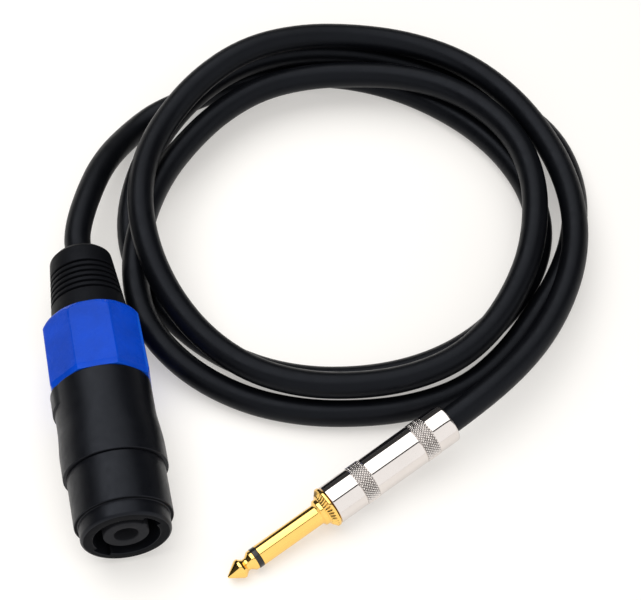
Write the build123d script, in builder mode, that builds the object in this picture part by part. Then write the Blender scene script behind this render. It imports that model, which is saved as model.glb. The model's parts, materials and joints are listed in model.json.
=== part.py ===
"""Instrument cable: an inline locking speaker connector, a loose coil of round cable and a 1/4 inch plug.

The frame stands on the surface that the cable lies on: +Z is up, the speaker connector's axis runs along Y
with its socket towards -Y, and the origin is under the middle of the box round the two connectors.
Stations named v run along the speaker connector from its face to the rear of its boot.
Stations named u run along the plug from the point of its tip to the rear of its barrel.
"""

from build123d import *
from math import cos, radians, sin, tan
import os

os.makedirs("parts", exist_ok=True)

# ---------------------------------------------------------------- driving dimensions, mm
CLEAR = 0.05  # between pieces that are fixed to each other
RUNNING = 0.06  # radial clearance of a thread, modelled as a plain cylinder

CABLE_R = 4.1
CORE_R = 1.2  # insulated conductor

# speaker connector
FACE = (-42.9, -42.9, 15.0)  # centre of the socket's face
LIP_R, LIP_END, LIP_ROUND = 13.3, 5.0, 1.1
FRONT_R, FRONT_END = 14.5, 20.6
BODY_R, BODY_START, BODY_END = 14.9, 20.9, 49.5
PAD_R, PAD_WIDTH, PAD_END = 15.5, 15.0, 33.0
LUG_START = 43.0  # a raised lug beside the collar, on one side
STUB_R, STUB_BORE_R, STUB_END = 12.3, 10.3, 58.0
BODY_BORE_R = 12.4
GROOVE_R, GROOVE_END = 9.75, 19.0
KEYWAY_WIDTH, KEYWAY_R, KEYWAY_ANGLE = 6.0, 11.0, 139.0
POST_R, POST_BORE_R, POST_START, POST_BORE_END = 6.7, 3.5, 0.8, 17.0
BASE_R, BASE_START, BASE_END = 11.4, 19.1, 27.0
BLADE_WIDTH, BLADE_THICK, BLADE_START = 3.0, 0.8, 3.0
TERMINAL_SIZE, TERMINAL_START, TERMINAL_END, TERMINAL_AT = 5.4, 30.0, 38.0, 7.4
TERMINAL_SCREW_R, TERMINAL_SCREW_PROUD = 1.45, 1.0
COLLAR_START, COLLAR_END = 49.7, 73.4
COLLAR_FRONT_R, COLLAR_REAR_R, COLLAR_TURN = 16.0, 15.6, 22.15  # radii to the corners
COLLAR_BEVEL, COLLAR_BEVEL_DROP = 1.7, 0.45
COLLAR_CONE = 2.0
COLLAR_SIDES = 8
BOOT_R, BOOT_END_R, BOOT_END, BOOT_ROUND = 11.9, 9.6, 98.8, 2.0
BOOT_FLANGE_R, BOOT_FLANGE_START, BOOT_LIP_GAP = 12.25, 68.5, 1.8
BOOT_GROOVES, BOOT_GROOVE_FIRST, BOOT_GROOVE_PITCH = 6, 80.6, 2.04
BOOT_GROOVE_WIDTH, BOOT_GROOVE_DEPTH = 0.8, 0.9
CHUCK_START, CHUCK_END, CHUCK_SLOT, CHUCK_SLOTS = 51.5, 68.0, 1.2, 4
CONNECTOR_TAIL = (57.0, 93.0)  # the jacket's stretch inside the speaker connector

# 1/4 inch plug
TIP_POINT = (-16.1, -54.9, 2.6)
PLUG_AZIMUTH, PLUG_RISE = 24.5, 7.0
SHANK_R = 3.175
TIP_WIDE_R, TIP_WAIST_R, TIP_END = SHANK_R, 1.9, 9.3
INSULATOR_END = 10.9
SHOULDER = 32.6
NECK_R, NECK_END = 4.2, 33.7
FLANGE_R, FLANGE_FRONT, FLANGE_END = 6.4, 35.0, 36.3
SLEEVE_STUB_R, SLEEVE_STUB_END = 5.3, 43.0
ROD_R, ROD_END = 1.2, 46.0
SLEEVE_BORE_R = 2.4
BARREL_R, BARREL_START, BARREL_END, BARREL_ROUND = 6.2, 36.4, 80.0, 2.2
BARREL_BORE_R, BARREL_EXIT_R = 5.5, 4.4
KNURL_BANDS = ((46.1, 50.5), (68.1, 72.7))
KNURL_PROUD = 0.1
TUBE_R, TUBE_WALL, TUBE_START, TUBE_END = BARREL_BORE_R - RUNNING, 0.3, 46.5, 77.4
LUG_THICK = 0.6
CLAMP_START, CLAMP_END = 58.0, 66.0
GROUND_TONGUE = (CABLE_R + CLEAR, CABLE_R + CLEAR + 0.5)  # radii of the ground lug's tongue
TIP_TAB, TIP_TAB_LENGTH = (2.2, 2.8), 5.2  # radii of the tip lug's solder tab, and its length
PLUG_TAIL = (56.0, 74.0)  # the jacket's stretch inside the plug

# cable, laid out on the surface
COIL_CENTRE = (44.1, 56.3)
RING_R, RING_SHIFT = 75.4, (-0.5, 2.4)
HOLE_R, HOLE_SHIFT = 54.0, (0.3, -4.0)
RING_HEIGHT, RING_TAPER = 26.0, 15.0
RING_TOP_LEFT, RING_TOP_RIGHT = 25.0, 16.6

# route of the cable from the speaker connector into the coil
CONNECTOR_ROUTE = (
    (FACE[0], FACE[1] + CONNECTOR_TAIL[1], FACE[2]),
    (FACE[0], 67.4, FACE[2]),
    (-36.3, 86.9, 11.8),
    (-20.8, 110.0, CABLE_R),
    (-0.6, 122.8, CABLE_R),
)

# ---------------------------------------------------------------- planes and helpers
# local x runs along the axis of each connector, and local y is its upward radius
connector_plane = Plane(origin=FACE, x_dir=(0, 1, 0), z_dir=(1, 0, 0))
plug_heading = (cos(radians(PLUG_AZIMUTH)), sin(radians(PLUG_AZIMUTH)))
plug_direction = Vector(
    cos(radians(PLUG_RISE)) * plug_heading[0],
    cos(radians(PLUG_RISE)) * plug_heading[1],
    sin(radians(PLUG_RISE)),
)
plug_plane = Plane(
    origin=TIP_POINT, x_dir=plug_direction, z_dir=(plug_heading[1], -plug_heading[0], 0)
)


def turn(plane, points, mode=Mode.ADD):
    """Turns a closed outline of (station, radius) points about the plane's x axis."""
    with BuildSketch(plane) as outline:
        with BuildLine():
            Polyline(*points, close=True)
        make_face()
    revolve(outline.sketch, axis=Axis(plane.origin, plane.x_dir), mode=mode)


def tube(plane, start, end, inner, outer, mode=Mode.ADD):
    """A plain tube between two stations."""
    turn(plane, [(start, inner), (end, inner), (end, outer), (start, outer)], mode)


def across(plane, station, angle=0.0):
    """The plane square to the axis at a station: its z runs along the axis, its x points outward at angle."""
    outward = plane.y_dir * sin(radians(angle)) - plane.z_dir * cos(radians(angle))
    return Plane(origin=plane.from_local_coords((station, 0, 0)), x_dir=outward, z_dir=plane.x_dir)


def bar(plane, start, end, angle, near, far, width, mode=Mode.ADD):
    """A straight bar along the axis, from radius near to far in the direction angle."""
    with BuildSketch(across(plane, start, angle)) as section:
        with Locations(((near + far) / 2, 0)):
            Rectangle(far - near, width)
    extrude(section.sketch, amount=end - start, mode=mode)


def bend_radii(points):
    """The largest smooth bend at each corner of a route: 0.45 of the shorter run beside it."""
    found = []
    for before, corner, after in zip(points, points[1:], points[2:]):
        arriving, leaving = Vector(corner) - Vector(before), Vector(after) - Vector(corner)
        half_turn = radians(arriving.get_angle(leaving)) / 2
        found.append(0.45 * min(arriving.length, leaving.length) / tan(half_turn))
    return found


def wire(points, radius):
    """A round cord along straight runs joined by tangent arcs."""
    radii = bend_radii(points)
    print("bend radii", [round(r, 1) for r in radii])
    with BuildLine() as route:
        FilletPolyline(*points, radius=radii)
    with BuildSketch(Plane(origin=route.line @ 0, z_dir=route.line % 0)) as section:
        Circle(radius)
    sweep(section.sketch, path=route.line)
    print("length", round(sum(edge.length for edge in route.edges()), 1))


def write(piece, name):
    """Names a finished piece and writes its STEP file."""
    piece.part.label = name
    export_step(piece.part, f"parts/{name}.step")


# ---------------------------------------------------------------- speaker connector: shells
with BuildPart() as front_shell:
    turn(
        connector_plane,
        [
            (0, GROOVE_R),
            (0, LIP_R - LIP_ROUND),
            (LIP_ROUND * 0.3, LIP_R - LIP_ROUND * 0.3),
            (LIP_ROUND, LIP_R),
            (LIP_END, LIP_R),
            (LIP_END, FRONT_R),
            (FRONT_END, FRONT_R),
            (FRONT_END, BASE_R + CLEAR),
            (GROOVE_END, BASE_R + CLEAR),
            (GROOVE_END, GROOVE_R),
        ],
    )
    for keyway_angle in (KEYWAY_ANGLE, KEYWAY_ANGLE + 180):
        bar(connector_plane, 0, GROOVE_END, keyway_angle, GROOVE_R - 1, KEYWAY_R, KEYWAY_WIDTH, Mode.SUBTRACT)
    for blade_angle in (0, 180):
        bar(
            connector_plane,
            BLADE_START - CLEAR,
            FRONT_END,
            blade_angle,
            GROOVE_R - 1,
            GROOVE_R + BLADE_THICK,
            BLADE_WIDTH + 2 * CLEAR,
            Mode.SUBTRACT,
        )
write(front_shell, "front_shell")

with BuildPart() as body_shell:
    turn(
        connector_plane,
        [
            (BODY_START, BASE_R + CLEAR),
            (BODY_START, BODY_R - 0.2),
            (BODY_START + 0.3, BODY_R),
            (BODY_END, BODY_R),
            (BODY_END, STUB_R),
            (STUB_END, STUB_R),
            (STUB_END, STUB_BORE_R),
            (BODY_END, STUB_BORE_R),
            (BODY_END - 3, BODY_BORE_R),
            (BASE_END + CLEAR, BODY_BORE_R),
            (BASE_END + CLEAR, BASE_R + CLEAR),
        ],
    )
    # shallow grip pads on both sides of the front half
    with BuildSketch(across(connector_plane, BODY_START + 0.3)) as pads:
        Circle(PAD_R)
        Circle(BODY_R - 1, mode=Mode.SUBTRACT)
        Rectangle(2 * PAD_R, PAD_WIDTH, mode=Mode.INTERSECT)
    extrude(pads.sketch, amount=PAD_END - BODY_START - 0.3)
    with BuildSketch(across(connector_plane, LUG_START)) as lug:
        Circle(PAD_R)
        Circle(BODY_R - 1, mode=Mode.SUBTRACT)
        with Locations((PAD_R, 0)):
            Rectangle(PAD_R, PAD_WIDTH, mode=Mode.INTERSECT)
    extrude(lug.sketch, amount=BODY_END - LUG_START)
write(body_shell, "body_shell")

# ---------------------------------------------------------------- speaker connector: contacts and their carrier
PLUS_ANGLES, MINUS_ANGLES = (90, 270), (0, 180)
PLUS_BLADE = (POST_R - BLADE_THICK + 0.1, POST_R + 0.1)  # blade lies in the post, 0.1 proud
MINUS_BLADE = (GROOVE_R - 0.1, GROOVE_R + BLADE_THICK - CLEAR)  # blade lies in the groove's outer wall

with BuildPart() as contact_carrier:
    turn(
        connector_plane,
        [
            (POST_START, POST_BORE_R),
            (POST_START, POST_R - 0.3),
            (POST_START + 0.3, POST_R),
            (BASE_START, POST_R),
            (BASE_START, BASE_R),
            (BASE_END, BASE_R),
            (BASE_END, 0),
            (POST_BORE_END, 0),
            (POST_BORE_END, POST_BORE_R),
        ],
    )
    for angles, (near, far) in ((PLUS_ANGLES, PLUS_BLADE), (MINUS_ANGLES, MINUS_BLADE)):
        for angle in angles:
            bar(
                connector_plane,
                BLADE_START - CLEAR,
                BASE_END,
                angle,
                near - CLEAR,
                far + CLEAR,
                BLADE_WIDTH + 2 * CLEAR,
                Mode.SUBTRACT,
            )
write(contact_carrier, "contact_carrier")

WIRE_HOLE_R = CORE_R + 0.15
SCREW_END = TERMINAL_AT + TERMINAL_SIZE / 2 + TERMINAL_SCREW_PROUD
SCREW_STATION = TERMINAL_END - 3.5


def contact(name, angle, blade):
    """One sprung blade with its screw terminal behind the carrier."""
    with BuildPart() as piece:
        bar(connector_plane, BLADE_START, TERMINAL_START + 1, angle, *blade, BLADE_WIDTH)
        bar(
            connector_plane,
            TERMINAL_START,
            TERMINAL_END,
            angle,
            TERMINAL_AT - TERMINAL_SIZE / 2,
            TERMINAL_AT + TERMINAL_SIZE / 2,
            TERMINAL_SIZE,
        )
        with BuildSketch(across(connector_plane, TERMINAL_END, angle)) as wire_hole:
            with Locations((TERMINAL_AT, 0)):
                Circle(WIRE_HOLE_R)
        extrude(wire_hole.sketch, amount=-(TERMINAL_END - TERMINAL_START - 1), mode=Mode.SUBTRACT)
        with BuildSketch(screw_plane(angle, TERMINAL_AT)) as screw_hole:
            Circle(TERMINAL_SCREW_R + CLEAR)
        extrude(screw_hole.sketch, amount=TERMINAL_SIZE, mode=Mode.SUBTRACT)
    write(piece, name)


def screw_plane(angle, radius):
    """The plane square to a terminal's screw, at a radius from the connector's axis."""
    square = across(connector_plane, SCREW_STATION, angle)
    return Plane(origin=square.from_local_coords((radius, 0, 0)), x_dir=square.z_dir, z_dir=square.x_dir)


contact("contact_1_plus", PLUS_ANGLES[0], PLUS_BLADE)
contact("contact_2_plus", PLUS_ANGLES[1], PLUS_BLADE)
contact("contact_1_minus", MINUS_ANGLES[0], MINUS_BLADE)
contact("contact_2_minus", MINUS_ANGLES[1], MINUS_BLADE)

with BuildPart() as terminal_screws:
    for angle in PLUS_ANGLES + MINUS_ANGLES:
        with BuildSketch(screw_plane(angle, SCREW_END)) as screw:
            Circle(TERMINAL_SCREW_R)
        extrude(screw.sketch, amount=TERMINAL_AT + CORE_R + CLEAR - SCREW_END)
        with BuildSketch(screw_plane(angle, SCREW_END)) as driver_slot:
            Rectangle(2 * TERMINAL_SCREW_R, 0.5)
        extrude(driver_slot.sketch, amount=-0.8, mode=Mode.SUBTRACT)
write(terminal_screws, "terminal_screws")

# ---------------------------------------------------------------- speaker connector: clamp, collar and boot
with BuildPart() as cable_chuck:
    turn(
        connector_plane,
        [
            (CHUCK_START, CABLE_R + CLEAR),
            (CHUCK_START, STUB_BORE_R - CLEAR),
            (STUB_END + 0.2, STUB_BORE_R - CLEAR),
            (CHUCK_END, CABLE_R + 3),
            (CHUCK_END, CABLE_R + CLEAR),
        ],
    )
    for slot in range(CHUCK_SLOTS):
        bar(
            connector_plane,
            STUB_END - 2,
            CHUCK_END,
            slot * 360 / CHUCK_SLOTS + 45,
            0,
            STUB_BORE_R,
            CHUCK_SLOT,
            Mode.SUBTRACT,
        )
write(cable_chuck, "cable_chuck")

COLLAR_BORE_R = STUB_R + RUNNING
COLLAR_LIP = COLLAR_END - BOOT_LIP_GAP
with BuildPart() as locking_collar:
    for station, corner_r in (
        (COLLAR_START, COLLAR_FRONT_R - COLLAR_BEVEL_DROP),
        (COLLAR_START + COLLAR_BEVEL, COLLAR_FRONT_R),
        (COLLAR_END, COLLAR_REAR_R),
    ):
        with BuildSketch(across(connector_plane, station, COLLAR_TURN)):
            RegularPolygon(corner_r, COLLAR_SIDES)
    loft(ruled=True)
    # the rear corners are turned off in a steep and a flat cone
    turn(
        connector_plane,
        [
            (COLLAR_START, 0),
            (COLLAR_START, COLLAR_FRONT_R + 0.2),
            (COLLAR_END - COLLAR_CONE, COLLAR_REAR_R + 0.2),
            (COLLAR_END - COLLAR_CONE * 0.4, COLLAR_REAR_R - 0.8),
            (COLLAR_END, COLLAR_REAR_R - 1.8),
            (COLLAR_END, 0),
        ],
        Mode.INTERSECT,
    )
    tube(connector_plane, COLLAR_START, COLLAR_LIP, 0, COLLAR_BORE_R, Mode.SUBTRACT)
    tube(connector_plane, COLLAR_LIP, COLLAR_END, 0, BOOT_R + RUNNING, Mode.SUBTRACT)
write(locking_collar, "locking_collar")

with BuildPart() as strain_relief_boot:
    turn(
        connector_plane,
        [
            (BOOT_FLANGE_START, CABLE_R + 4),
            (BOOT_FLANGE_START, BOOT_FLANGE_R),
            (COLLAR_LIP - RUNNING, BOOT_FLANGE_R),
            (COLLAR_LIP - RUNNING, BOOT_R),
            (COLLAR_END + 1, BOOT_R),
            (BOOT_END - BOOT_ROUND, BOOT_END_R),
            (BOOT_END - BOOT_ROUND * 0.3, BOOT_END_R - BOOT_ROUND * 0.3),
            (BOOT_END, BOOT_END_R - BOOT_ROUND),
            (BOOT_END, CABLE_R + 1.0),
            (BOOT_END - 4, CABLE_R + 0.4),
            (COLLAR_END + 4, CABLE_R + 0.4),
            (COLLAR_END + 2, CABLE_R + 4),
        ],
    )
    for groove in range(BOOT_GROOVES):
        station = BOOT_GROOVE_FIRST + groove * BOOT_GROOVE_PITCH
        share = (station - COLLAR_END) / (BOOT_END - COLLAR_END)
        surface_r = BOOT_R + share * (BOOT_END_R - BOOT_R)
        tube(
            connector_plane,
            station - BOOT_GROOVE_WIDTH / 2,
            station + BOOT_GROOVE_WIDTH / 2,
            surface_r - BOOT_GROOVE_DEPTH,
            BOOT_FLANGE_R,
            Mode.SUBTRACT,
        )
write(strain_relief_boot, "strain_relief_boot")

# ---------------------------------------------------------------- speaker connector: cable end
with BuildPart() as connector_tail:
    tube(connector_plane, *CONNECTOR_TAIL, 0, CABLE_R)
write(connector_tail, "connector_tail")


def connector_core(name, angle, offset):
    """One conductor, from the jacket's cut end into its terminal."""
    outward = (cos(radians(angle)), sin(radians(angle)))
    stops = (
        (TERMINAL_START + 3, TERMINAL_AT),
        (TERMINAL_END + 4, TERMINAL_AT),
        (CONNECTOR_TAIL[0] - 5, offset),
        (CONNECTOR_TAIL[0], offset),
    )
    points = [connector_plane.from_local_coords((v, r * outward[1], -r * outward[0])) for v, r in stops]
    with BuildPart() as core:
        wire(points, CORE_R)
    write(core, name)


connector_core("conductor_red", PLUS_ANGLES[0], CORE_R + 0.7)
connector_core("conductor_black", MINUS_ANGLES[1], CORE_R + 0.7)

# ---------------------------------------------------------------- 1/4 inch plug: contacts
with BuildPart() as plug_tip:
    turn(
        plug_plane,
        [
            (0, 0),
            (0.15, 0.4),
            (4.1, TIP_WIDE_R - 0.1),
            (4.5, TIP_WIDE_R),
            (5.0, TIP_WIDE_R - 0.15),
            (6.3, TIP_WAIST_R),
            (7.0, TIP_WAIST_R),
            (8.2, TIP_WIDE_R - 0.2),
            (8.6, TIP_WIDE_R),
            (TIP_END, TIP_WIDE_R),
            (TIP_END, ROD_R),
            (ROD_END, ROD_R),
            (ROD_END, 0),
        ],
    )
write(plug_tip, "plug_tip")

with BuildPart() as tip_insulator:
    tube(plug_plane, TIP_END + CLEAR, INSULATOR_END, ROD_R + CLEAR, SHANK_R)
write(tip_insulator, "tip_insulator")

LUG_START = SLEEVE_STUB_END + CLEAR
WASHER_START = LUG_START + LUG_THICK + CLEAR
TIP_LUG_START = WASHER_START + 1.0 + CLEAR
with BuildPart() as inner_insulator:
    tube(plug_plane, INSULATOR_END + CLEAR, WASHER_START - CLEAR, ROD_R + CLEAR, SLEEVE_BORE_R - CLEAR)
write(inner_insulator, "inner_insulator")

with BuildPart() as plug_sleeve:
    turn(
        plug_plane,
        [
            (INSULATOR_END + CLEAR, SLEEVE_BORE_R),
            (INSULATOR_END + CLEAR, SHANK_R),
            (SHOULDER, SHANK_R),
            (SHOULDER, NECK_R),
            (NECK_END, NECK_R),
            (FLANGE_FRONT, FLANGE_R),
            (FLANGE_END, FLANGE_R),
            (FLANGE_END, SLEEVE_STUB_R),
            (SLEEVE_STUB_END, SLEEVE_STUB_R),
            (SLEEVE_STUB_END, SLEEVE_BORE_R),
        ],
    )
write(plug_sleeve, "plug_sleeve")

# ---------------------------------------------------------------- 1/4 inch plug: lugs and washer
with BuildPart() as ground_lug:
    tube(plug_plane, LUG_START, LUG_START + LUG_THICK, SLEEVE_BORE_R + CLEAR, GROUND_TONGUE[1] + 0.2)
    bar(plug_plane, LUG_START, CLAMP_START + 1, 270, *GROUND_TONGUE, 3.0)
    # the clamp is a band bent round the jacket, open at the top
    tube(plug_plane, CLAMP_START, CLAMP_END, CABLE_R + CLEAR, CABLE_R + CLEAR + LUG_THICK)
    bar(plug_plane, CLAMP_START, CLAMP_END, 90, 0, 6, 5.0, Mode.SUBTRACT)
write(ground_lug, "ground_lug")

with BuildPart() as rear_washer:
    tube(plug_plane, WASHER_START, WASHER_START + 1.0, ROD_R + CLEAR, 4.5)
    # a flat clears the ground lug's tongue
    bar(plug_plane, WASHER_START, WASHER_START + 1.0, 270, 4.1, 6, 6, Mode.SUBTRACT)
write(rear_washer, "rear_washer")

with BuildPart() as tip_lug:
    tube(plug_plane, TIP_LUG_START, TIP_LUG_START + LUG_THICK, ROD_R + CLEAR, TIP_TAB[1])
    bar(plug_plane, TIP_LUG_START, TIP_LUG_START + TIP_TAB_LENGTH, 90, *TIP_TAB, TIP_TAB[1])
write(tip_lug, "tip_lug")

# ---------------------------------------------------------------- 1/4 inch plug: barrel
with BuildPart() as insulating_tube:
    tube(plug_plane, TUBE_START, TUBE_END, TUBE_R - TUBE_WALL, TUBE_R)
write(insulating_tube, "insulating_tube")

with BuildPart() as plug_barrel:
    turn(
        plug_plane,
        [
            (BARREL_START, SLEEVE_STUB_R + RUNNING),
            (BARREL_START, BARREL_R - 0.15),
            (BARREL_START + 0.15, BARREL_R),
            (BARREL_END - BARREL_ROUND, BARREL_R),
            (BARREL_END - BARREL_ROUND * 0.45, BARREL_R - BARREL_ROUND * 0.16),
            (BARREL_END - BARREL_ROUND * 0.12, BARREL_R - BARREL_ROUND * 0.5),
            (BARREL_END, BARREL_EXIT_R + 0.3),
            (BARREL_END, BARREL_EXIT_R),
            (BARREL_END - BARREL_ROUND, BARREL_EXIT_R),
            (BARREL_END - BARREL_ROUND, BARREL_BORE_R),
            (SLEEVE_STUB_END + 0.5, BARREL_BORE_R),
            (SLEEVE_STUB_END + 0.4, SLEEVE_STUB_R + RUNNING),
        ],
    )
    for band_start, band_end in KNURL_BANDS:
        tube(plug_plane, band_start, band_end, BARREL_R - 0.2, BARREL_R + KNURL_PROUD)
write(plug_barrel, "plug_barrel")

# ---------------------------------------------------------------- 1/4 inch plug: cable end
with BuildPart() as plug_tail:
    tube(plug_plane, *PLUG_TAIL, 0, CABLE_R)
write(plug_tail, "plug_tail")


def plug_core(name, side, height):
    """One conductor, from the jacket's cut end to the solder joint on its lug."""
    stops = (
        (PLUG_TAIL[0], CORE_R + 0.4),
        (PLUG_TAIL[0] - 1.6, CORE_R + 0.4),
        (PLUG_TAIL[0] - 5.5, height),
        (PLUG_TAIL[0] - 8.5, height),
    )
    with BuildPart() as core:
        wire([plug_plane.from_local_coords((u, side * y, 0)) for u, y in stops], CORE_R)
    write(core, name)


plug_core("tip_conductor", 1, TIP_TAB[0] - CORE_R - CLEAR)
plug_core("sleeve_conductor", -1, GROUND_TONGUE[0] - CORE_R - CLEAR)

# ---------------------------------------------------------------- free cable
plug_exit = plug_plane.from_local_coords((PLUG_TAIL[1], 0, 0))
PLUG_ROUTE = (
    tuple(plug_exit),
    tuple(plug_plane.from_local_coords((BARREL_END + 11.8, 0, 0))),
    (85.0, -4.1, 13.0),
    (97.5, 9.6, 12.7),
)

with BuildPart() as connector_lead:
    wire(CONNECTOR_ROUTE, CABLE_R)
write(connector_lead, "connector_lead")

with BuildPart() as plug_lead:
    wire(PLUG_ROUTE, CABLE_R)
write(plug_lead, "plug_lead")

# three and a half turns lie two and three deep: deepest at the left, where the turns cross
with BuildPart() as coil:
    with BuildSketch(Plane.XY):
        with Locations((COIL_CENTRE[0] + RING_SHIFT[0], COIL_CENTRE[1] + RING_SHIFT[1])):
            Circle(RING_R)
        with Locations((COIL_CENTRE[0] + HOLE_SHIFT[0], COIL_CENTRE[1] + HOLE_SHIFT[1])):
            Circle(HOLE_R, mode=Mode.SUBTRACT)
    extrude(amount=RING_HEIGHT, taper=RING_TAPER)
    slope = (RING_TOP_LEFT - RING_TOP_RIGHT) / (2 * RING_R)
    split(
        bisect_by=Plane(
            origin=(COIL_CENTRE[0] - RING_R, COIL_CENTRE[1], RING_TOP_LEFT), z_dir=(slope, 0, 1)
        ),
        keep=Keep.BOTTOM,
    )
write(coil, "coil")
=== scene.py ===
"""Coiled cable with a locking speaker connector and a 1/4 inch plug, on a pale floor.

The scene is in metres. Outlines and stations are in millimetres along the connector they belong to.
"""

import json
import math
from math import cos, pi, radians, sin

import bmesh
import bpy
from mathutils import Matrix, Vector


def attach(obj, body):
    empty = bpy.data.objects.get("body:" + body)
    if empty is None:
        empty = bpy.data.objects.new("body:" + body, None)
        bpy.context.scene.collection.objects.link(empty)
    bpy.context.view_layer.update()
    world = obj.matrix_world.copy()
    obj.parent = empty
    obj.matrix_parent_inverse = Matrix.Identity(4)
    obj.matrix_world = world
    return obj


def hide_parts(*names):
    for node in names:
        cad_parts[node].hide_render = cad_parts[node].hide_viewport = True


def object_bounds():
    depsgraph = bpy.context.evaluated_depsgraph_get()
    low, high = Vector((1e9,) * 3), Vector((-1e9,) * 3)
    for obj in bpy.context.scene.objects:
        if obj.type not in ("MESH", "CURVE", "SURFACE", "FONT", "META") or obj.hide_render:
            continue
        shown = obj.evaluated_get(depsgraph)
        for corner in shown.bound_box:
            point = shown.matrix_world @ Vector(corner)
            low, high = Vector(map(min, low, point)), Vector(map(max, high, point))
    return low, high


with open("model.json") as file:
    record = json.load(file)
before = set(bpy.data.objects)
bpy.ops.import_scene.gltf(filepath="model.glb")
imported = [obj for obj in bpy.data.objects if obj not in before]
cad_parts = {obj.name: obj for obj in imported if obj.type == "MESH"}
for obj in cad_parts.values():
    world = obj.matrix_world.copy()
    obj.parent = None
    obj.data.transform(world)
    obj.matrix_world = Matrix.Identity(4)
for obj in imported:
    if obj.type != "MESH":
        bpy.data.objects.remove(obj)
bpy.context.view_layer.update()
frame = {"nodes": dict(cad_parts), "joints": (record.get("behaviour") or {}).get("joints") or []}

MM = 0.001
CABLE_R = 4.1
scene = bpy.context.scene
joints = {joint["name"]: joint for joint in frame["joints"]}

# ---------------------------------------------------------------- frames of the two connectors
COLLAR_PIVOT, BARREL_PIVOT = 64.5, 58.2  # stations of the two hinges


class Along:
    """A connector's own axes: s runs along it from its front, and angle turns from its side to its top."""

    def __init__(self, joint, station):
        self.axis = Vector(joint["axis"]).normalized()
        self.origin = Vector(joint["pos_m"]) - self.axis * station * MM
        self.side = Vector((0, 0, 1)).cross(self.axis).normalized()
        self.up = self.axis.cross(self.side)

    def at(self, s, r=0.0, angle=0.0):
        a = radians(angle)
        return self.origin + (self.axis * s + (self.side * cos(a) + self.up * sin(a)) * r) * MM


connector = Along(joints["collar_turn"], COLLAR_PIVOT)
plug = Along(joints["barrel_turn"], BARREL_PIVOT)

# ---------------------------------------------------------------- mesh helpers
SIDE_SHARE = 0.49  # the most of a side that one fillet may take
WELD, SLIVER = 1e-7, 1e-8


def rounded(points, steps=4):
    """A closed outline of (s, r, fillet) corners, with each corner rounded by its own fillet radius."""
    line = []
    count = len(points)
    for i, (s, r, fillet) in enumerate(points):
        here = Vector((s, r))
        if fillet <= 0:
            line.append((s, r))
            continue
        back = Vector(points[i - 1][:2]) - here
        ahead = Vector(points[(i + 1) % count][:2]) - here
        half = back.angle(ahead) / 2
        reach = min(fillet / math.tan(half), SIDE_SHARE * back.length, SIDE_SHARE * ahead.length)
        radius = reach * math.tan(half)
        middle = here + (back.normalized() + ahead.normalized()).normalized() * (radius / sin(half))
        first = here + back.normalized() * reach - middle
        sweep = first.angle_signed(here + ahead.normalized() * reach - middle)
        for k in range(steps + 1):
            turned = Matrix.Rotation(-sweep * k / steps, 2) @ first
            line.append(tuple(middle + turned))
    return line


def clean(mesh):
    """Welds the points on the axis and turns every face outward."""
    work = bmesh.new()
    work.from_mesh(mesh)
    bmesh.ops.remove_doubles(work, verts=work.verts, dist=WELD)
    bmesh.ops.dissolve_degenerate(work, edges=work.edges, dist=SLIVER)
    bmesh.ops.recalc_face_normals(work, faces=work.faces)
    work.to_mesh(mesh)
    work.free()


def lathe(name, along, outline, segments=128, shape=None, angles=None):
    """A closed mesh turned from an outline of (s, r) points; shape(s, r, angle) may move a point."""
    angles = angles or [360 * k / segments for k in range(segments)]
    verts, faces = [], []
    for angle in angles:
        for s, r in outline:
            if shape and r > 0:
                s, r = shape(s, r, angle)
            verts.append(along.at(s, r, angle))
    n, m = len(outline), len(angles)
    for j in range(m):
        for i in range(n):
            k, h = (i + 1) % n, (j + 1) % m
            faces.append((j * n + i, j * n + k, h * n + k, h * n + i))
    mesh = bpy.data.meshes.new(name)
    mesh.from_pydata(verts, [], faces)
    clean(mesh)
    return mesh


def new_piece(name, mesh, body, replaced, mats, sharp=34):
    """Links a mesh as a piece that rides on a body and stands for CAD nodes."""
    mesh.shade_smooth()
    mesh.set_sharp_from_angle(angle=radians(sharp))
    for material in mats:
        mesh.materials.append(material)
    piece = bpy.data.objects.new(name, mesh)
    scene.collection.objects.link(piece)
    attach(piece, body)
    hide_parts(*replaced)


def smooth(x, low, high):
    """Eases from 0 at low to 1 at high."""
    t = max(0.0, min(1.0, (x - low) / (high - low)))
    return t * t * (3 - 2 * t)


def stations(start, end, count):
    """The places between start and end that divide the stretch into count equal parts."""
    return [start + (end - start) * k / count for k in range(1, count)]


def apart(angle, other):
    """The angle between two directions round an axis, 0 to 180."""
    return abs((angle - other + 180) % 360 - 180)


def once_round(angles):
    """The angles in rising order within one turn, each of them once."""
    return sorted(set(round(a % 360, 3) for a in angles))


def thread(start, rings, pitch, root, crest, rise, top, fall):
    """Ring ridges that stand for a screw thread; rise, top and fall are measured from a ridge's foot."""
    line = []
    for k in range(rings):
        s = start + k * pitch
        line += [(s, root), (s + rise, crest), (s + top, crest), (s + fall, root)]
    return line


# ---------------------------------------------------------------- node helpers
class Nodes:
    """The node tree of a material or world, with short names for what is used here."""

    def __init__(self, owner):
        owner.use_nodes = True
        self.tree = owner.node_tree

    def add(self, kind, **settings):
        node = self.tree.nodes.new(kind)
        for key, value in settings.items():
            if hasattr(node, key):
                setattr(node, key, value)
            else:
                node.inputs[key.replace("_", " ")].default_value = value
        return node

    def link(self, source, target):
        self.tree.links.new(source, target)

    def math(self, operation, a, b=0, clamp=False):
        node = self.add("ShaderNodeMath", operation=operation, use_clamp=clamp)
        for value, socket in ((a, node.inputs[0]), (b, node.inputs[1])):
            if isinstance(value, (int, float)):
                socket.default_value = value
            else:
                self.link(value, socket)
        return node.outputs[0]

    def dot(self, place, direction):
        """How far a place, or how much of a heading, lies along a direction."""
        node = self.add("ShaderNodeVectorMath", operation="DOT_PRODUCT")
        self.link(place, node.inputs[0])
        node.inputs[1].default_value = direction
        return node.outputs["Value"]


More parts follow.
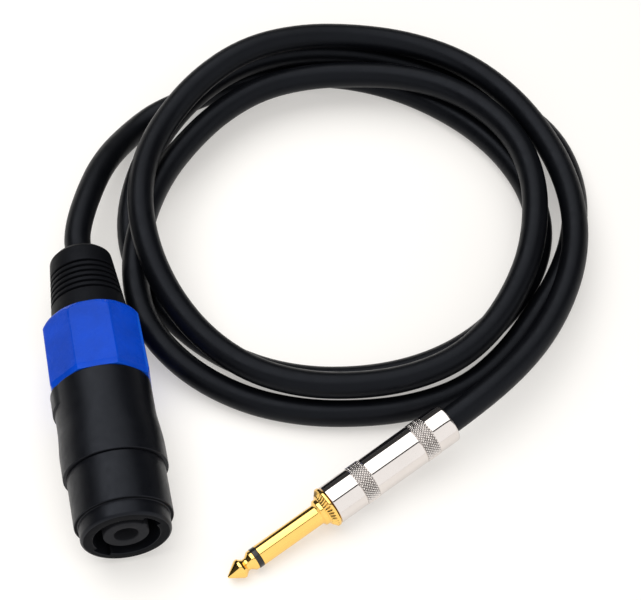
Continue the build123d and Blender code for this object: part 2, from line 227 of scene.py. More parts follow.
class Surface(Nodes):
    """A material: patterns laid out in the object's own coordinates, and the shader they feed."""

    def __init__(self, name):
        self.material = bpy.data.materials.new(name)
        super().__init__(self.material)
        self.shader = self.tree.nodes["Principled BSDF"]
        self.place = self.add("ShaderNodeTexCoord").outputs["Object"]

    def scaled(self, x, y, z):
        node = self.add("ShaderNodeMapping")
        node.inputs["Scale"].default_value = (x, y, z)
        self.link(self.place, node.inputs["Vector"])
        return node.outputs["Vector"]

    def noise(self, scale, detail=3.0, roughness=0.55, vector=None):
        node = self.add("ShaderNodeTexNoise", Scale=scale, Detail=detail, Roughness=roughness)
        self.link(vector or self.place, node.inputs["Vector"])
        return node.outputs["Fac"]

    def ramp(self, factor, *stops):
        node = self.add("ShaderNodeValToRGB")
        ramp = node.color_ramp
        while len(ramp.elements) < len(stops):
            ramp.elements.new(0.5)
        for element, (position, value) in zip(ramp.elements, stops):
            element.position = position
            element.color = (*value, 1) if isinstance(value, tuple) else (value, value, value, 1)
        self.link(factor, node.inputs["Fac"])
        return node.outputs["Color"]

    def bump(self, height, strength, distance, after=None):
        node = self.add("ShaderNodeBump", Strength=strength, Distance=distance)
        self.link(height, node.inputs["Height"])
        if after:
            self.link(after, node.inputs["Normal"])
        return node.outputs["Normal"]

    def edge(self):
        """1 on worn outer edges, 0 elsewhere."""
        return self.ramp(self.add("ShaderNodeNewGeometry").outputs["Pointiness"], (0.52, 0.0), (0.62, 1.0))

    def painted_hollow_shade(self):
        """1 at the bottom of cuts, 0 elsewhere; it places the painted shade there."""
        return self.ramp(self.add("ShaderNodeNewGeometry").outputs["Pointiness"], (0.38, 1.0), (0.47, 0.0))

    def mix(self, factor, a, b):
        node = self.add("ShaderNodeMix", data_type="RGBA")
        self.link(factor, node.inputs["Factor"])
        for value, socket in ((a, node.inputs[6]), (b, node.inputs[7])):
            if isinstance(value, tuple):
                socket.default_value = (*value, 1)
            else:
                self.link(value, socket)
        return node.outputs[2]

    def set(self, **values):
        for key, value in values.items():
            socket = self.shader.inputs[key.replace("_", " ")]
            if isinstance(value, (int, float, tuple)):
                socket.default_value = (*value, 1) if isinstance(value, tuple) and len(value) == 3 else value
            else:
                self.link(value, socket)


def scaled_colour(colour, share):
    return tuple(c * share for c in colour)


PLAIN = (1.0, 1.0, 1.0)


def plastic(name, colour, worn, rough=(0.36, 0.5), grain=9000, grain_depth=0.00001, level=0.4, tint=PLAIN):
    """Moulded plastic or rubber: a fine grain, faint patches in colour and gloss, and lighter worn edges."""
    n = Surface(name)
    patches = n.noise(90, 4)
    tone = n.ramp(patches, (0.3, scaled_colour(colour, 0.82)), (0.7, scaled_colour(colour, 1.14)))
    n.set(
        Base_Color=n.mix(n.edge(), tone, worn),
        Roughness=n.ramp(n.noise(420, 5), (0.3, rough[0]), (0.7, rough[1])),
        Normal=n.bump(n.noise(60, 2), 0.25, 0.0002, n.bump(n.noise(grain, 2), 0.5, grain_depth)),
        Specular_IOR_Level=level,
        Specular_Tint=tint,
    )
    return n.material


def metal(name, colour, rough, dark, cuts=None):
    """Plated metal: faint hazing, fine scratches, darker specks, and shade painted dark into its cuts."""
    n = Surface(name)
    haze = n.noise(160, 4)
    scratch = n.noise(260, 6, 0.7, n.scaled(1, 9, 9))
    specks = n.ramp(n.noise(1300, 3), (0.2, 0.7), (0.28, 0.0))
    plate = n.mix(specks, n.ramp(haze, (0.3, scaled_colour(colour, 0.95)), (0.7, colour)), dark)
    n.set(
        # painted shade: the colour is darkened in cuts and hollows, where shade falls
        Base_Color=n.mix(cuts(n) if cuts else n.painted_hollow_shade(), plate, scaled_colour(dark, 0.12)),
        Metallic=1.0,
        Roughness=n.ramp(scratch, (0.35, rough[0]), (0.7, rough[1])),
        Normal=n.bump(scratch, 0.06, 0.00002),
    )
    return n.material


# ---------------------------------------------------------------- the plug's ribs and knurling, with shade painted into their cuts
FLANGE_START, FLANGE_END, SERRATIONS = 34.0, 35.42, 36
BARREL_R = 6.2
BANDS = ((46.1, 50.5), (68.1, 72.7))
TEETH, TOOTH, CUT, CUT_HALF = 40, 0.98, 0.3, 0.32
RIB_SHADE_HALF, KNURL_SHADE_HALF = 0.17, 0.2  # half widths of the cuts' painted shade, in shares of their spacing
WHOLE_TURNS = 100  # added before a fraction is taken, so that it is never of a negative number


def knurl_depth(s, angle, start):
    """0 in the middle of a diamond and 1 in the middle of a cut; two sets of spiral cuts cross."""
    turn, run = angle * TEETH / 360, (s - start) / TOOTH
    nearest = min(abs((turn + sign * run) % 1 - 0.5) for sign in (-1, 1))
    return 1 - min(1.0, nearest / CUT_HALF)


def on_plug(n, count):
    """Distance along the plug, and turn round it with one revolution worth count."""
    along, across, above = (
        n.math("SUBTRACT", n.dot(n.place, direction), plug.origin.dot(direction))
        for direction in (plug.axis, plug.side, plug.up)
    )
    return along, n.math("MULTIPLY", n.math("ARCTAN2", above, across), count / (2 * pi))


def cut_shade(n, phase, half_width):
    """1 in the middle of a cut, less away from it and below 0 past half_width; phase counts the cuts."""
    wave = n.math("FRACT", n.math("ADD", phase, WHOLE_TURNS))
    gap = n.math("ABSOLUTE", n.math("SUBTRACT", wave, 0.5))
    return n.math("SUBTRACT", 1, n.math("DIVIDE", gap, half_width))


def within(n, along, start, end):
    """1 between two stations, 0 elsewhere."""
    past_start = n.math("GREATER_THAN", along, start * MM)
    return n.math("MULTIPLY", past_start, n.math("LESS_THAN", along, end * MM))


def flange_painted_shade(n):
    """A mask of painted shade for the gold: 1 in the cuts between the flange's radial ribs, 0 elsewhere."""
    along, turn = on_plug(n, SERRATIONS)
    cut = n.math("MAXIMUM", cut_shade(n, turn, RIB_SHADE_HALF), 0)
    return n.math("MULTIPLY", cut, within(n, along, FLANGE_START, FLANGE_END))


def knurl_painted_shade(n):
    """A mask of painted shade for the nickel: 1 in the knurling's crossed cuts, 0 on the diamonds and off
    the bands.
    """
    along, turn = on_plug(n, TEETH)
    mask = 0.0
    for start, end in BANDS:
        run = n.math("DIVIDE", n.math("SUBTRACT", along, start * MM), TOOTH * MM)
        cut = 0.0
        for kind in ("ADD", "SUBTRACT"):
            cut = n.math("MAXIMUM", cut, cut_shade(n, n.math(kind, turn, run), KNURL_SHADE_HALF))
        mask = n.math("MAXIMUM", mask, n.math("MULTIPLY", cut, within(n, along, start, end)))
    return mask


# ---------------------------------------------------------------- materials
COOL = (0.80, 0.86, 1.0)
SHELL_WORN = (0.012, 0.012, 0.014)
shell_black = plastic(
    "shell_black", (0.0022, 0.0025, 0.0038), SHELL_WORN, (0.34, 0.46), level=0.2, tint=COOL
)
shell_face = plastic("shell_face", (0.0048, 0.005, 0.006), SHELL_WORN, (0.55, 0.65), level=0.04, tint=COOL)
insert_black = plastic(
    "insert_black", (0.0145, 0.0148, 0.017), (0.02, 0.02, 0.022), (0.55, 0.65), level=0.06, tint=COOL
)
collar_blue = plastic(
    "collar_blue",
    (0.0002, 0.050, 0.475),
    (0.008, 0.10, 0.60),
    (0.22, 0.32),
    grain=7000,
    grain_depth=0.000006,
    level=0.13,
    tint=(0.8, 0.95, 1.0),
)
boot_rubber = plastic(
    "boot_rubber",
    (0.0032, 0.0034, 0.0044),
    (0.009, 0.009, 0.010),
    (0.46, 0.6),
    grain=6000,
    grain_depth=0.000015,
    level=0.1,
    tint=COOL,
)
chuck_nylon = plastic("chuck_nylon", (0.62, 0.61, 0.56), (0.75, 0.74, 0.7), (0.35, 0.5))
ring_black = plastic("ring_black", (0.008, 0.008, 0.009), (0.02, 0.02, 0.02), (0.2, 0.32))
core_red = plastic("core_red", (0.45, 0.012, 0.012), (0.6, 0.1, 0.1), (0.3, 0.45))
core_black = plastic("core_black", (0.01, 0.01, 0.01), (0.03, 0.03, 0.03), (0.3, 0.45))
gold = metal("gold_plate", (0.96, 0.615, 0.17), (0.06, 0.12), (0.62, 0.30, 0.05), flange_painted_shade)
nickel = metal("nickel_plate", (0.74, 0.695, 0.67), (0.03, 0.07), (0.5, 0.47, 0.45), knurl_painted_shade)
silver = metal("contact_silver", (0.82, 0.80, 0.74), (0.18, 0.3), (0.45, 0.42, 0.36))
steel = metal("screw_steel", (0.6, 0.6, 0.6), (0.22, 0.36), (0.3, 0.3, 0.3))
lug_brass = metal("lug_brass", (0.80, 0.58, 0.26), (0.2, 0.35), (0.4, 0.26, 0.1))


def jacket():
    """Extruded cable jacket: a satin skin with faint long ripples, dust specks and slightly uneven gloss."""
    n = Surface("cable_jacket")
    tone = n.ramp(n.noise(38, 4), (0.3, (0.0014, 0.0016, 0.0023)), (0.72, (0.0024, 0.0027, 0.0038)))
    dust = n.ramp(n.noise(2400, 2), (0.79, 0.0), (0.84, 0.35))
    n.set(
        Base_Color=n.mix(dust, tone, (0.09, 0.09, 0.095)),
        Roughness=n.ramp(n.noise(300, 5), (0.3, 0.34), (0.7, 0.46)),
        Normal=n.bump(n.noise(55, 3), 0.3, 0.0004, n.bump(n.noise(5200, 2), 0.35, 0.000012)),
        Specular_IOR_Level=0.14,
        Specular_Tint=COOL,
    )
    return n.material


def liner():
    """Clear tube inside the barrel."""
    n = Surface("liner_clear")
    n.set(
        Base_Color=n.ramp(n.noise(200), (0.3, (0.80, 0.80, 0.74)), (0.7, (0.9, 0.9, 0.86))),
        Roughness=n.ramp(n.noise(500), (0.3, 0.12), (0.7, 0.25)),
        Normal=n.bump(n.noise(150), 0.2, 0.0002),
        Transmission_Weight=0.75,
    )
    return n.material


cable_jacket = jacket()
liner_clear = liner()

# the CAD nodes that show as they are, mostly inside the connectors
for material, nodes in (
    (silver, ("contact_1_plus", "contact_1_minus", "contact_2_plus", "contact_2_minus")),
    (steel, ("terminal_screws",)),
    (chuck_nylon, ("cable_chuck",)),
    (cable_jacket, ("connector_tail", "plug_tail")),
    (core_red, ("conductor_red", "tip_conductor")),
    (core_black, ("conductor_black", "sleeve_conductor")),
    (ring_black, ("inner_insulator", "rear_washer")),
    (lug_brass, ("ground_lug", "tip_lug")),
    (liner_clear, ("insulating_tube",)),
):
    for node in nodes:
        frame["nodes"][node].data.materials.clear()
        frame["nodes"][node].data.materials.append(material)

# ---------------------------------------------------------------- free cable
COIL_CENTRE = (44.1, 56.3)
# from inside the boot, straight past its end, then down to the first turn
CONNECTOR_ROUTE = [
    connector.at(93.0) / MM,
    connector.at(99.5) / MM,
    connector.at(107.5) / MM,
    (-38.3, 77.7, 14.4),
    (-30.2, 95.1, 11.0),
    (-17.6, 111.3, CABLE_R),
    (-7.0, 117.6, CABLE_R),
]
# from the last turn into the rear of the barrel
PLUG_ROUTE = [
    (97.5, 9.6, 12.7),
    (85.0, -4.1, 13.0),
    plug.at(91.8) / MM,
    plug.at(74.0) / MM,
]
# the turns, clockwise from above, every 30 degrees: distance from the middle, and how many cables lie below
TURN_START, TURN_STEP = 138.86, 30.0
TURN_RADII = (
    (86.3, 72.4, 63.6, 58.6, 58.4, 59.3, 56.0, 54.4, 54.8, 59.3, 65.3, 72.3),
    (72.2, 72.4, 70.5, 70.4, 75.2, 70.0, 64.1, 67.2, 66.9, 70.9, 75.4, 66.6),
    (61.4, 60.7, 58.5, 60.7, 61.0, 56.8, 56.5, 60.5, 61.5, 64.5, 65.4, 67.5),
    (69.2, 70.4, 70.9, 71.9, 69.1, 69.5, 71.0, 75.2),
)
TURN_LAYERS = (
    (0, 0, 0, 0, 0, 0, 0, 0, 0, 0, 0, 0),
    (0.75, 1.09, 0.52, 0, 0, 0, 0.05, 0, 0, 0, 0.68, 1.15),
    (1.02, 1.0, 0.95, 1.06, 1.04, 1.07, 1.0, 0.95, 0.91, 0.94, 1.41, 2.22),
    (1.92, 2.17, 1.53, 1.15, 1.05, 1.0, 1.05, 0.95),
)
SKIP_FIRST, SKIP_LAST = 2, 3  # coil points whose place the two routes take


def between(values, i):
    """The value halfway from entry i to the next, on a smooth curve through its neighbours."""
    before, after = values[max(i - 1, 0)], values[min(i + 2, len(values) - 1)]
    return (9 * (values[i] + values[i + 1]) - before - after) / 16


def coil_points():
    """Two control points for every 30 degrees of the coil."""
    radii = [r for turn in TURN_RADII for r in turn]
    layers = [n for turn in TURN_LAYERS for n in turn]
    points = []
    for i in range(len(radii)):
        steps = [(i, radii[i], layers[i])]
        if i + 1 < len(radii):
            steps.append((i + 0.5, between(radii, i), max(between(layers, i), 0)))
        for place, radius, layer in steps:
            a = radians(TURN_START - TURN_STEP * place)
            x, y = COIL_CENTRE[0] + radius * cos(a), COIL_CENTRE[1] + radius * sin(a)
            points.append((x, y, CABLE_R * (1 + 2 * layer)))
    return points


control = CONNECTOR_ROUTE + coil_points()[SKIP_FIRST:-SKIP_LAST] + PLUG_ROUTE
curve = bpy.data.curves.new("cable", "CURVE")
curve.dimensions = "3D"
curve.resolution_u = 6
curve.bevel_depth = CABLE_R * MM
curve.bevel_resolution = 8
curve.use_fill_caps = True
spline = curve.splines.new("NURBS")
spline.points.add(len(control) - 1)
for point, place in zip(spline.points, control):
    point.co = (*[c * MM for c in place], 1)
spline.order_u = 3
spline.use_endpoint_u = True
curve.materials.append(cable_jacket)
cable = bpy.data.objects.new("cable", curve)
scene.collection.objects.link(cable)
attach(cable, "root")
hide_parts("connector_lead", "coil", "plug_lead")

# ---------------------------------------------------------------- speaker connector: front shell
FRONT_R, FRONT_END = 14.5, 20.6
RIM_R, STEP_R = 13.3, 13.6  # the narrow rim, and the small step up to the shell's full width
SEAT_R = 11.45  # both shells fit round the insert at this radius
GROOVE_R, GROOVE_END = 9.75, 19.0
KEYWAYS, KEYWAY_R, KEYWAY_HALF = (139.0, 319.0), 11.0, 17.0


def keyed(s, r, angle):
    """Pushes the groove's outer wall out where the two keyways run."""
    on_wall = s < GROOVE_END - 0.1 and r < GROOVE_R + 0.7
    if on_wall and any(apart(angle, keyway) < KEYWAY_HALF for keyway in KEYWAYS):
        return s, r + KEYWAY_R - GROOVE_R
    return s, r


keyway_sides = [
    keyway + side * (KEYWAY_HALF + past) for keyway in KEYWAYS for side in (-1, 1) for past in (-0.02, 0.25)
]
front = lathe(
    "front_shell_body",
    connector,
    rounded(
        [
            (0.0, GROOVE_R, 0.25),
            (0.0, RIM_R, 1.15),
            (4.85, RIM_R, 0.12),
            (5.0, STEP_R, 0.1),
            (5.0, FRONT_R, 0.35),
            (FRONT_END, FRONT_R, 0.2),
            (FRONT_END, STEP_R, 0),
            (FRONT_END, SEAT_R, 0),
            (GROOVE_END, SEAT_R, 0),
            (GROOVE_END, GROOVE_R, 0),
        ],
        5,
    ),
    shape=keyed,
    angles=once_round([k * 2.5 for k in range(144)] + keyway_sides),
)
new_piece("front_shell_body", front, "root", ["front_shell"], [shell_black, shell_face])
for face in front.polygons:
    face.material_index = int(face.normal.dot(connector.axis) < -0.9)  # faces that look forward are duller

# ---------------------------------------------------------------- speaker connector: body shell
BODY_START, BODY_END, BODY_R = 20.9, 49.5, 14.98
OUTSIDE_R = 14.0  # points beyond this radius are on the outer face
LUG_START, LUG_FULL, LUG_HEIGHT = 42.9, 43.3, 0.6
FLARE_FULL, LEFT_FLARE_END, RIGHT_FLARE_END = 27.5, 37.5, 40.0
LEFT_FLARE, RIGHT_FLARE, RIGHT_WAIST = 0.58, 0.9, 0.38
STUB_ROOT, STUB_CREST, STUB_BORE, CHAMBER_R = 11.9, 12.28, 10.3, 12.4


def grip(s, r, angle):
    """Flares the body at both sides of its front, waists it on the right and adds the lug by the collar."""
    if r < OUTSIDE_R or s > BODY_END + 0.01:
        return s, r
    left = max(0.0, cos(radians(angle)))
    right = max(0.0, -cos(radians(angle)))
    lug = smooth(s, LUG_START, LUG_FULL) * LUG_HEIGHT * smooth(left, 0.84, 0.93)
    flare_left = (1 - smooth(s, FLARE_FULL, LEFT_FLARE_END)) * LEFT_FLARE * smooth(left, 0.0, 1.0)
    flare_right = (1 - smooth(s, FLARE_FULL, RIGHT_FLARE_END)) * RIGHT_FLARE * smooth(right, 0.0, 1.0)
    waist = RIGHT_WAIST * smooth(right, -0.2, 1.0)
    return s, r + lug + flare_left + flare_right - waist


body_outline = rounded(
    [
        (BODY_START, SEAT_R, 0),
        (BODY_START, BODY_R, 0.3),
        *[(s, BODY_R, 0) for s in stations(BODY_START, 42.8, 44)],
        *[(s, BODY_R, 0) for s in (42.8, 42.9, 43.0, 43.1, 43.2, 43.3)],
        *[(s, BODY_R, 0) for s in stations(43.4, BODY_END, 10)],
        (BODY_END, BODY_R, 0.2),
        (BODY_END, 12.35, 0.1),
    ],
    3,
)
body_outline += [
    (49.9, STUB_ROOT),
    *thread(50.4, 12, 0.6, STUB_ROOT, STUB_CREST, 0.14, 0.3, 0.46),
    (58.0, 11.6),
    (58.0, STUB_BORE),
    (49.5, STUB_BORE),
    (46.5, CHAMBER_R),
    (27.05, CHAMBER_R),
    (27.05, SEAT_R),
]
body = lathe("body_shell_body", connector, body_outline, 192, grip)
new_piece("body_shell_body", body, "root", ["body_shell"], [shell_black])

# ---------------------------------------------------------------- speaker connector: insert with its post
POST_R, POST_FRONT, POST_BORE, POST_BORE_END = 6.7, 0.8, 3.5, 17.0
INSERT_R, INSERT_END, GROOVE_FLOOR = 11.4, 27.0, 19.1
RIB_AT, RIB_HALF, RIB_HEIGHT = 146, 8, 0.55


def ribbed(s, r, angle):
    """A small key rib along the post's upper right."""
    if s < GROOVE_END and 5.5 < r < 7.0 and apart(angle, RIB_AT) < RIB_HALF:
        return s, r + RIB_HEIGHT
    return s, r


insert = lathe(
    "insert_post",
    connector,
    rounded(
        [
            (POST_BORE_END, 0, 0),
            (POST_BORE_END, POST_BORE, 0),
            (POST_FRONT, POST_BORE, 0.35),
            (POST_FRONT, POST_R, 0.4),
            (GROOVE_FLOOR, POST_R, 0),
            (GROOVE_FLOOR, INSERT_R, 0),
            (INSERT_END, INSERT_R, 0),
            (INSERT_END, 0, 0),
        ]
    ),
    144,
    ribbed,
)
new_piece("insert_post", insert, "root", ["contact_carrier"], [insert_black])

# ---------------------------------------------------------------- speaker connector: locking collar
COLLAR_START, COLLAR_END = 49.7, 73.4
COLLAR_FRONT_R, COLLAR_REAR_R = 16.05, 15.65  # to the corners
COLLAR_BORE, LIP_BORE, LIP_START = 12.36, 11.96, 71.6
COLLAR_TURN, SIDES = 22.15, 8
CORNER_CLIP, CLIP_BLEND = 0.05, 0.12
COLLAR_RINGS = (  # station, drop of the flats, drop of the corners
    (COLLAR_START, 0.55, 0.62),
    (49.76, 0.47, 0.50),
    (51.33, 0.05, 0.06),
    (51.42, 0.0, 0.0),
    (56.0, 0.0, 0.0),
    (61.0, 0.0, 0.0),
    (66.0, 0.0, 0.0),
    (70.9, 0.0, 0.0),
    (71.5, 0.0, 0.22),
    (72.2, 0.02, 0.6),
    (72.8, 0.12, 1.0),
    (73.2, 0.4, 1.4),
    (COLLAR_END, 0.9, 1.9),
)


def facet(angle, apothem, corner):
    """Radius of a polygon, with its corners clipped to a circle of radius corner."""
    step = 360 / SIDES
    off = radians((angle - COLLAR_TURN) % step - step / 2)
    r = apothem / cos(off)
    h = max(0.0, min(1.0, 0.5 + (corner - r) / (2 * CLIP_BLEND)))
    return corner + (r - corner) * h - CLIP_BLEND * h * (1 - h)


def collar_flats(s, r, angle):
    """Gives the collar's outer rings their eight flats."""
    for station, flat, corner in COLLAR_RINGS:
        if abs(s - station) < 1e-6 and r > 12.9:
            share = (s - COLLAR_START) / (COLLAR_END - COLLAR_START)
            half_width = COLLAR_FRONT_R + share * (COLLAR_REAR_R - COLLAR_FRONT_R)
            apothem = half_width * cos(pi / SIDES) - flat
            return s, facet(angle, apothem, half_width - CORNER_CLIP - corner)
    return s, r


collar_angles = []
for k in range(SIDES):
    corner_at = COLLAR_TURN + 45 * k
    flat_at = corner_at + 22.5
    collar_angles.append(corner_at)
    for off in (0, 3, 6.5, 10, 13, 16, 18, 19.5, 20.5, 21.2, 21.8, 22.2):  # closer together by the corners
        collar_angles += [flat_at + off, flat_at - off]
collar = lathe(
    "collar_nut",
    connector,
    [
        (COLLAR_START, COLLAR_BORE),
        *[(s, 14.0) for s, _, _ in COLLAR_RINGS],
        (COLLAR_END, LIP_BORE),
        (LIP_START, LIP_BORE),
        (LIP_START, COLLAR_BORE),
    ],
    shape=collar_flats,
    angles=once_round(collar_angles),
)
new_piece("collar_nut", collar, "collar", ["locking_collar"], [collar_blue], 20)

# ---------------------------------------------------------------- speaker connector: boot
TAPER_START, TAPER_LENGTH, TAPER_WIDE, TAPER_NARROW = 74.4, 22.4, 11.9, 9.6
GROOVES = [80.6 + 2.04 * k for k in range(6)]
GROOVE_MOUTH, GROOVE_BOTTOM, GROOVE_DEPTH = 0.48, 0.3, 1.0  # the first two are half widths
BOOT_FLANGE_START, BOOT_FLANGE_END, BOOT_FLANGE_R = 68.5, 71.54, 12.25
BOOT_END, BOOT_BORE, BOOT_WIDE_BORE = 98.8, 4.5, 8.1


def boot_r(s):
    return TAPER_WIDE + (s - TAPER_START) / TAPER_LENGTH * (TAPER_NARROW - TAPER_WIDE)


boot_corners = [
    (BOOT_FLANGE_START, BOOT_WIDE_BORE, 0.3),
    (BOOT_FLANGE_START, BOOT_FLANGE_R, 0.3),
    (BOOT_FLANGE_END, BOOT_FLANGE_R, 0.05),
    (BOOT_FLANGE_END, 11.88, 0.05),
    (TAPER_START, boot_r(TAPER_START), 0.5),
]
for s in GROOVES:
    boot_corners += [
        (s - GROOVE_MOUTH, boot_r(s - GROOVE_MOUTH), 0.22),
        (s - GROOVE_BOTTOM, boot_r(s) - GROOVE_DEPTH, 0.15),
        (s + GROOVE_BOTTOM, boot_r(s) - GROOVE_DEPTH, 0.15),
        (s + GROOVE_MOUTH, boot_r(s + GROOVE_MOUTH), 0.22),
    ]
boot_corners += [
    (97.0, boot_r(97.0), 1.2),
    (BOOT_END, 7.8, 0.9),
    (BOOT_END, 5.1, 0.4),
    (94.8, BOOT_BORE, 0.5),
    (79.8, BOOT_BORE, 0.5),
    (77.8, BOOT_WIDE_BORE, 0.5),
]
boot = lathe("boot_sleeve", connector, rounded(boot_corners), 144)
new_piece("boot_sleeve", boot, "boot", ["strain_relief_boot"], [boot_rubber])

# ---------------------------------------------------------------- plug: tip, ring and sleeve
TIP_END, ROD_R, ROD_END = 9.3, 1.2, 46.0
RING_START, RING_END, RING_R, RING_BORE = 9.35, 10.9, 3.16, 1.25
SLEEVE_START, SLEEVE_R, SLEEVE_BORE = 10.95, 3.175, 2.4
CONE_START, CONE_LENGTH, CONE_FRONT_R, CONE_RISE, CONE_STEPS = 33.75, 1.55, 4.45, 1.85, 12
FLANGE_R, FLANGE_REAR = 6.4, 36.2
RIB_DEPTH = 0.3
SCREW_ROOT, SCREW_CREST = 4.95, 5.28

tip = lathe(
    "tip_contact",
    plug,
    rounded(
        [
            (0.0, 0.0, 0),
            (0.05, 0.28, 0.15),
            (3.95, 2.98, 0.9),
            (4.75, 3.08, 0.35),
            (6.15, 1.95, 0.5),
            (6.95, 1.9, 0.5),
            (8.3, 3.02, 0.15),
            (TIP_END, 3.1, 0.1),
            (TIP_END, ROD_R, 0),
            (ROD_END, ROD_R, 0.2),
            (ROD_END, 0.0, 0),
        ],
        6,
    ),
    96,
)
new_piece("tip_contact", tip, "root", ["plug_tip"], [gold])

ring = lathe(
    "ring_insulator",
    plug,
    rounded(
        [
            (RING_START, RING_BORE, 0),
            (RING_START, RING_R, 0.08),
            (RING_END, RING_R, 0.08),
            (RING_END, RING_BORE, 0),
        ],
        3,
    ),
    96,
)
new_piece("ring_insulator", ring, "root", ["tip_insulator"], [ring_black])


def serrated(s, r, angle):
    """Radial ribs on the flange's conical front."""
    if CONE_START < s < CONE_START + CONE_LENGTH + 0.05 and 4.5 < r < 6.3:
        depth = RIB_DEPTH * smooth(r, 4.5, 4.9) * (1 - smooth(r, 6.0, 6.28))
        wave = abs((angle * SERRATIONS / 360) % 1 - 0.5) * 2
        return s + depth * (1 - smooth(wave, 0.15, 0.75)), r
    return s, r


cone = [
    (CONE_START + CONE_LENGTH * k / CONE_STEPS, CONE_FRONT_R + CONE_RISE * k / CONE_STEPS, 0)
    for k in range(CONE_STEPS + 1)
]
sleeve_outline = rounded(
    [
        (SLEEVE_START, SLEEVE_BORE, 0),
        (SLEEVE_START, SLEEVE_R, 0.1),
        *[(s, SLEEVE_R, 0) for s in (11.3, 11.6, 31.3, 31.6)],
        (31.9, SLEEVE_R, 0.25),
        (32.2, 3.55, 0.2),
        (32.6, 4.1, 0.25),
        (33.7, 4.2, 0.3),
        *cone,
        (35.42, FLANGE_R, 0.1),
        (FLANGE_REAR, FLANGE_R, 0.2),
        (FLANGE_REAR, 5.25, 0),
    ]
)
sleeve_outline += thread(36.75, 11, 0.55, SCREW_ROOT, SCREW_CREST, 0.14, 0.28, 0.42)
sleeve_outline += [(43.0, 4.9), (43.0, SLEEVE_BORE)]
sleeve = lathe("sleeve_contact", plug, sleeve_outline, SERRATIONS * 8, serrated)
new_piece("sleeve_contact", sleeve, "root", ["plug_sleeve"], [gold])

# ---------------------------------------------------------------- plug: barrel with two knurled bands
BARREL_START, BARREL_END, BARREL_BORE, BARREL_THREAD_R = 36.6, 80.0, 5.5, 5.36
BAND_EDGES = (0.7, 0.4, 0.22)  # stations on both sides of a band, measured from it


def knurled(s, r, angle):
    """Two sets of crossed spiral cuts raise small diamonds."""
    if r < BARREL_R - 0.3:
        return s, r
    for start, end in BANDS:
        if start - 0.01 < s < end + 0.01:
            edge = min(smooth(s, start, start + 0.2), 1 - smooth(s, end - 0.2, end))
            return s, BARREL_R + 0.1 - CUT * knurl_depth(s, angle, start) * edge - 0.06 * (1 - edge)
    return s, r


barrel_corners = [
    (BARREL_START, BARREL_THREAD_R, 0),
    (BARREL_START, BARREL_R, 0.2),
    (36.9, BARREL_R, 0),
    (37.3, BARREL_R, 0),
]
for start, end in BANDS:
    barrel_corners += [(start - s, BARREL_R, 0) for s in BAND_EDGES]
    barrel_corners.append((start - 0.05, BARREL_R - 0.12, 0))
    barrel_corners += [(start + (end - start) * k / 40, BARREL_R + 0.05, 0) for k in range(41)]
    barrel_corners.append((end + 0.05, BARREL_R - 0.12, 0))
    barrel_corners += [(end + s, BARREL_R, 0) for s in reversed(BAND_EDGES)]
barrel_corners += [
    (76.9, BARREL_R, 0),
    (77.3, BARREL_R, 0),
    (BARREL_END, BARREL_R, 2.3),
    (BARREL_END, 4.4, 0.3),
    (77.8, 4.4, 0),
    (77.8, BARREL_BORE, 0),
    (43.5, BARREL_BORE, 0),
    (43.4, BARREL_THREAD_R, 0),
]
barrel = lathe("barrel_shell", plug, rounded(barrel_corners, 8), TEETH * 8, knurled)
new_piece("barrel_shell", barrel, "barrel", ["plug_barrel"], [nickel], 40)

# ---------------------------------------------------------------- floor, light and camera
FLOOR_HALF, FLOOR_Z = 3.0, -0.00002
# the paper's tone varies at random between the first two; the third is painted shade, which darkens the
# paper towards the right
PAPER_DARK, PAPER_LIGHT, PAPER_PAINTED_SHADE = (0.62, 0.607, 0.588), (0.635, 0.622, 0.603), (0.485, 0.475, 0.462)
low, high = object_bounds()
centre = (low + high) / 2
floor_mesh = bpy.data.meshes.new("floor")
floor_mesh.from_pydata(
    [
        (centre.x + x * FLOOR_HALF, centre.y + y * FLOOR_HALF, FLOOR_Z)
        for x, y in ((-1, -1), (1, -1), (1, 1), (-1, 1))
    ],
    [],
    [(0, 1, 2, 3)],
)
n = Surface("floor_paper")
painted_shade_rightward = n.math("MULTIPLY", n.math("ADD", n.dot(n.place, (1, 0, 0)), 0.05), 4.0)  # 0 to 1 over 250 mm: the share of painted shade that darkens the paper to the right
n.set(
    Base_Color=n.mix(painted_shade_rightward, n.ramp(n.noise(6, 3), (0.3, PAPER_DARK), (0.7, PAPER_LIGHT)), PAPER_PAINTED_SHADE),
    Roughness=n.ramp(n.noise(40), (0.3, 0.55), (0.7, 0.65)),
    Specular_IOR_Level=0.15,
    # the floor glows faintly: painted light that lightens and warms the shadows on it
    Emission_Color=(1.0, 0.975, 0.94),
    Emission_Strength=0.4,
)
floor_mesh.materials.append(n.material)
floor = bpy.data.objects.new("floor", floor_mesh)
scene.collection.objects.link(floor)

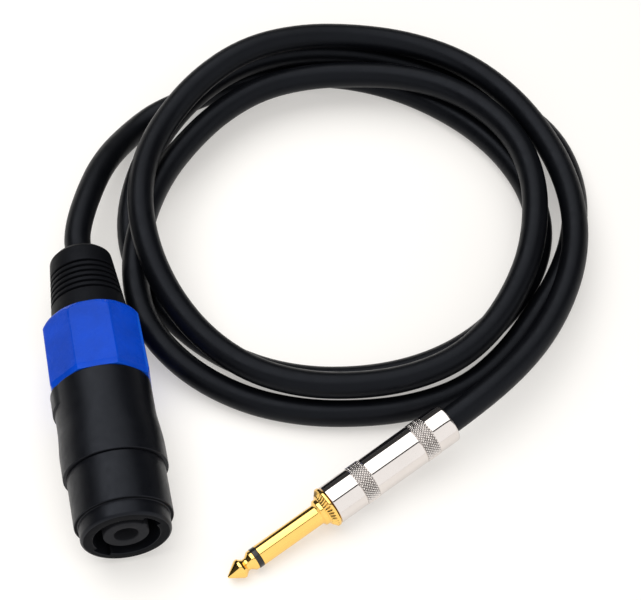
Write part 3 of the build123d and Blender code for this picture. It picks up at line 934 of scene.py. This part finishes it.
# a broad key light overhead and behind, brighter to the left; then a thin gap and a paler fill in front
KEY_LEVEL, FILL_LEVEL, DARK_LEVEL = 2.35, 1.13, 0.05
KEY_RIGHT, KEY_SPREAD = 0.2, 1.6  # the key's share at its right, and what it gains towards the left
world = bpy.data.worlds.new("studio")
scene.world = world
sky = Nodes(world)
background = sky.tree.nodes["Background"]
direction = sky.add("ShaderNodeTexCoord").outputs["Generated"]


def facing(heading, low_at, high_at):
    """0 to 1 as the direction's share along heading rises from low_at to high_at."""
    share = sky.math("SUBTRACT", sky.dot(direction, Vector(heading).normalized()), low_at)
    return sky.math("MULTIPLY", share, 1 / (high_at - low_at), clamp=True)


overhead = sky.math("MULTIPLY", facing((0, 0.35, 1), 0.76, 0.80), facing((-0.22, 1, 0.2), -0.04, -0.015))
leftward = sky.math("ADD", sky.math("MULTIPLY", facing((-1, 0, 0), -0.9, 0.9), KEY_SPREAD), KEY_RIGHT)
key = sky.math("MULTIPLY", overhead, leftward)
fill = sky.math("MULTIPLY", facing((0.22, -1, -0.2), 0.14, 0.16), facing((0, 0, 1), -0.02, 0.0))
level = sky.math("ADD", sky.math("MULTIPLY", key, KEY_LEVEL), sky.math("MULTIPLY", fill, FILL_LEVEL))
level = sky.math("ADD", level, DARK_LEVEL)
# a ray straight from the camera meets plain white instead
shown = sky.add("ShaderNodeLightPath").outputs["Is Camera Ray"]
level = sky.math("ADD", sky.math("MULTIPLY", level, sky.math("SUBTRACT", 1, shown)), shown)
background.inputs["Color"].default_value = (1.0, 0.995, 0.985, 1)
sky.link(level, background.inputs["Strength"])

CAMERA_AT, HEADING, TILT, LENS = (-0.0466, -0.3479, 0.5867), -11.14, 56.3, 126.4
camera_data = bpy.data.cameras.new("camera")
camera_data.lens = LENS
camera_data.sensor_width = 36
camera_data.clip_end = 20
camera = bpy.data.objects.new("camera", camera_data)
scene.collection.objects.link(camera)
scene.camera = camera
camera.location = CAMERA_AT
camera.rotation_euler = (radians(90 - TILT), 0, radians(HEADING))
scene.view_settings.view_transform = "Standard"
